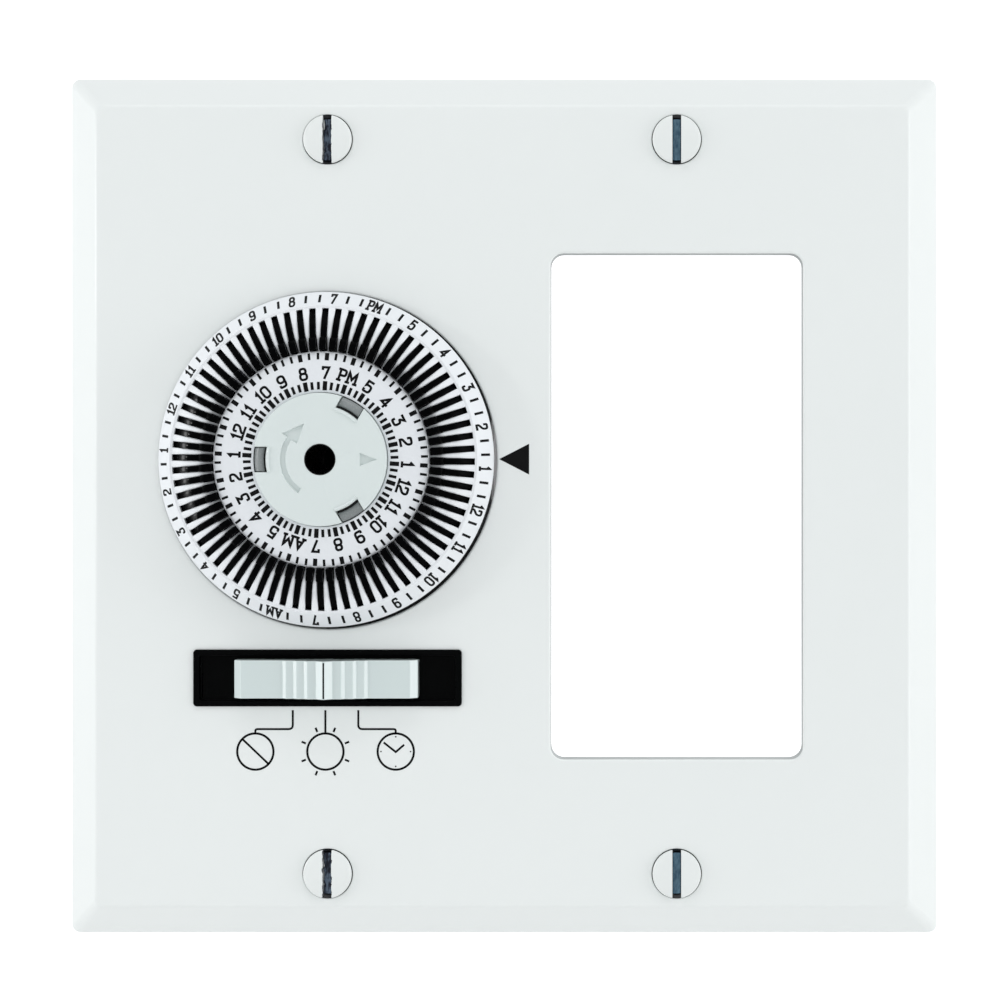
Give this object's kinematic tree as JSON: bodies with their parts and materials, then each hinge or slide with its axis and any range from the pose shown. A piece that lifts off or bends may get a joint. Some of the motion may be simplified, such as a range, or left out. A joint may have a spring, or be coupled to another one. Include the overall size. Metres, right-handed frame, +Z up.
{
  "type": "in-wall timer switch",
  "caption": "White two-gang wall plate with a round programmable time dial, captive trippers and a three-position slide switch beside an empty rectangular opening.",
  "frame": {"origin": "centre of the wall plate's outline, on the wall plane that its rim rests on", "axes": "+X to the right as seen from the room, +Y into the wall, +Z up"},
  "size_m": [0.116, 0.0484, 0.1142],
  "materials": {
    "plate_paint": "smooth semi-gloss white paint",
    "screw_paint": "semi-gloss white paint",
    "white_plastic": "satin moulded white",
    "hub_plastic": "satin moulded pale grey",
    "ivory_plastic": "natural acetal",
    "black_plastic": "glossy moulded black",
    "grey_plastic": "moulded grey",
    "case_plastic": "moulded black thermoset",
    "brown_plastic": "phenolic",
    "steel": "zinc plated",
    "magnet": "ferrite",
    "brass": "plain brass",
    "copper": "enamelled copper wire",
    "green_paint": "green dyed zinc"
  },
  "bodies": {
    "frame": {"wall_plate": "plate_paint", "plate_screws": "screw_paint", "slide_bezel": "black_plastic", "detent_spring": "steel", "dial_spring": "steel", "hub_post": "grey_plastic", "hub_cap": "hub_plastic", "hub_screw": "steel", "mounting_strap": "steel", "ground_screw": "green_paint", "front_cover": "grey_plastic", "rear_case": "case_plastic", "case_screws": "steel", "pillar_spacers": "steel", "movement_plate": "steel", "motor_cover": "steel", "motor_can": "steel", "motor_coil": "copper", "motor_screws": "steel", "wheel_arbor": "steel", "arm_pin": "steel", "fixed_contact": "brass", "switch_base": "brown_plastic", "return_spring": "steel", "terminal_plates": "brass", "terminal_screws": "steel"},
    "dial": {"dial_carrier": "white_plastic", "dial_face_ring": "white_plastic", "dial_gear": "ivory_plastic"},
    "knob": {"slide_knob": "white_plastic", "slide_carriage": "grey_plastic"},
    "wheel": {"reduction_wheel": "ivory_plastic"},
    "output": {"motor_pinion": "brass"},
    "rotor": {"motor_rotor": "magnet"},
    "arm": {"contact_arm": "brass"},
    "plunger": {"contact_plunger": "ivory_plastic"},
    "tripper_00": {"tripper_00": "black_plastic"},
    "tripper_01": {"tripper_01": "black_plastic"},
    "tripper_02": {"tripper_02": "black_plastic"},
    "tripper_03": {"tripper_03": "black_plastic"},
    "tripper_04": {"tripper_04": "black_plastic"},
    "tripper_05": {"tripper_05": "black_plastic"},
    "tripper_06": {"tripper_06": "black_plastic"},
    "tripper_07": {"tripper_07": "black_plastic"},
    "tripper_08": {"tripper_08": "black_plastic"},
    "tripper_09": {"tripper_09": "black_plastic"},
    "tripper_10": {"tripper_10": "black_plastic"},
    "tripper_11": {"tripper_11": "black_plastic"},
    "tripper_12": {"tripper_12": "black_plastic"},
    "tripper_13": {"tripper_13": "black_plastic"},
    "tripper_14": {"tripper_14": "black_plastic"},
    "tripper_15": {"tripper_15": "black_plastic"},
    "tripper_16": {"tripper_16": "black_plastic"},
    "tripper_17": {"tripper_17": "black_plastic"},
    "tripper_18": {"tripper_18": "black_plastic"},
    "tripper_19": {"tripper_19": "black_plastic"},
    "tripper_20": {"tripper_20": "black_plastic"},
    "tripper_21": {"tripper_21": "black_plastic"},
    "tripper_22": {"tripper_22": "black_plastic"},
    "tripper_23": {"tripper_23": "black_plastic"}
  },
  "joints": [
    {"name": "dial_turn", "type": "hinge", "parent": "frame", "child": "dial", "pos_m": [-0.02302, 0, 0.0062], "axis": [0, 1, 0], "continuous": true},
    {"name": "wheel_turn", "type": "hinge", "parent": "frame", "child": "wheel", "pos_m": [-0.01402, 0, 0.02179], "axis": [0, 1, 0], "continuous": true},
    {"name": "output_turn", "type": "hinge", "parent": "frame", "child": "output", "pos_m": [-0.02154, 0, 0.01905], "axis": [0, 1, 0], "continuous": true},
    {"name": "rotor_turn", "type": "hinge", "parent": "frame", "child": "rotor", "pos_m": [-0.02302, 0, 0.00945], "axis": [0, 1, 0], "continuous": true},
    {"name": "knob_slide", "type": "slide", "parent": "frame", "child": "knob", "axis": [1, 0, 0], "range_m": [-0.00433, 0.00433], "deforming": ["detent_spring"]},
    {"name": "arm_swing", "type": "hinge", "parent": "frame", "child": "arm", "pos_m": [-0.02302, 0.006, -0.028], "axis": [-1, 0, 0], "range_deg": [0, 3.5], "stiffness_Nm_per_rad": 0.08, "deforming": ["return_spring"]},
    {"name": "plunger_push", "type": "slide", "parent": "frame", "child": "plunger", "axis": [0, 1, 0], "range_m": [0, 0.0011]},
    {"name": "tripper_00_push", "type": "slide", "parent": "dial", "child": "tripper_00", "axis": [0, 1, 0], "range_m": [0, 0.0012]},
    {"name": "tripper_01_push", "type": "slide", "parent": "dial", "child": "tripper_01", "axis": [0, 1, 0], "range_m": [0, 0.0012]},
    {"name": "tripper_02_push", "type": "slide", "parent": "dial", "child": "tripper_02", "axis": [0, 1, 0], "range_m": [0, 0.0012]},
    {"name": "tripper_03_push", "type": "slide", "parent": "dial", "child": "tripper_03", "axis": [0, 1, 0], "range_m": [0, 0.0012]},
    {"name": "tripper_04_push", "type": "slide", "parent": "dial", "child": "tripper_04", "axis": [0, 1, 0], "range_m": [0, 0.0012]},
    {"name": "tripper_05_push", "type": "slide", "parent": "dial", "child": "tripper_05", "axis": [0, 1, 0], "range_m": [0, 0.0012]},
    {"name": "tripper_06_push", "type": "slide", "parent": "dial", "child": "tripper_06", "axis": [0, 1, 0], "range_m": [0, 0.0012]},
    {"name": "tripper_07_push", "type": "slide", "parent": "dial", "child": "tripper_07", "axis": [0, 1, 0], "range_m": [0, 0.0012]},
    {"name": "tripper_08_push", "type": "slide", "parent": "dial", "child": "tripper_08", "axis": [0, 1, 0], "range_m": [0, 0.0012]},
    {"name": "tripper_09_push", "type": "slide", "parent": "dial", "child": "tripper_09", "axis": [0, 1, 0], "range_m": [0, 0.0012]},
    {"name": "tripper_10_push", "type": "slide", "parent": "dial", "child": "tripper_10", "axis": [0, 1, 0], "range_m": [0, 0.0012]},
    {"name": "tripper_11_push", "type": "slide", "parent": "dial", "child": "tripper_11", "axis": [0, 1, 0], "range_m": [0, 0.0012]},
    {"name": "tripper_12_push", "type": "slide", "parent": "dial", "child": "tripper_12", "axis": [0, 1, 0], "range_m": [0, 0.0012]},
    {"name": "tripper_13_push", "type": "slide", "parent": "dial", "child": "tripper_13", "axis": [0, 1, 0], "range_m": [0, 0.0012]},
    {"name": "tripper_14_push", "type": "slide", "parent": "dial", "child": "tripper_14", "axis": [0, 1, 0], "range_m": [0, 0.0012]},
    {"name": "tripper_15_push", "type": "slide", "parent": "dial", "child": "tripper_15", "axis": [0, 1, 0], "range_m": [0, 0.0012]},
    {"name": "tripper_16_push", "type": "slide", "parent": "dial", "child": "tripper_16", "axis": [0, 1, 0], "range_m": [0, 0.0012]},
    {"name": "tripper_17_push", "type": "slide", "parent": "dial", "child": "tripper_17", "axis": [0, 1, 0], "range_m": [0, 0.0012]},
    {"name": "tripper_18_push", "type": "slide", "parent": "dial", "child": "tripper_18", "axis": [0, 1, 0], "range_m": [0, 0.0012]},
    {"name": "tripper_19_push", "type": "slide", "parent": "dial", "child": "tripper_19", "axis": [0, 1, 0], "range_m": [0, 0.0012]},
    {"name": "tripper_20_push", "type": "slide", "parent": "dial", "child": "tripper_20", "axis": [0, 1, 0], "range_m": [0, 0.0012]},
    {"name": "tripper_21_push", "type": "slide", "parent": "dial", "child": "tripper_21", "axis": [0, 1, 0], "range_m": [0, 0.0012]},
    {"name": "tripper_22_push", "type": "slide", "parent": "dial", "child": "tripper_22", "axis": [0, 1, 0], "range_m": [0, 0.0012]},
    {"name": "tripper_23_push", "type": "slide", "parent": "dial", "child": "tripper_23", "axis": [0, 1, 0], "range_m": [0, 0.0012]}
  ],
  "couplings": [
    {"joint": "wheel_turn", "follows": "dial_turn", "ratio": -8},
    {"joint": "output_turn", "follows": "dial_turn", "ratio": 24},
    {"joint": "plunger_push", "follows": "arm_swing", "m_per_rad": 0.0162}
  ]
}
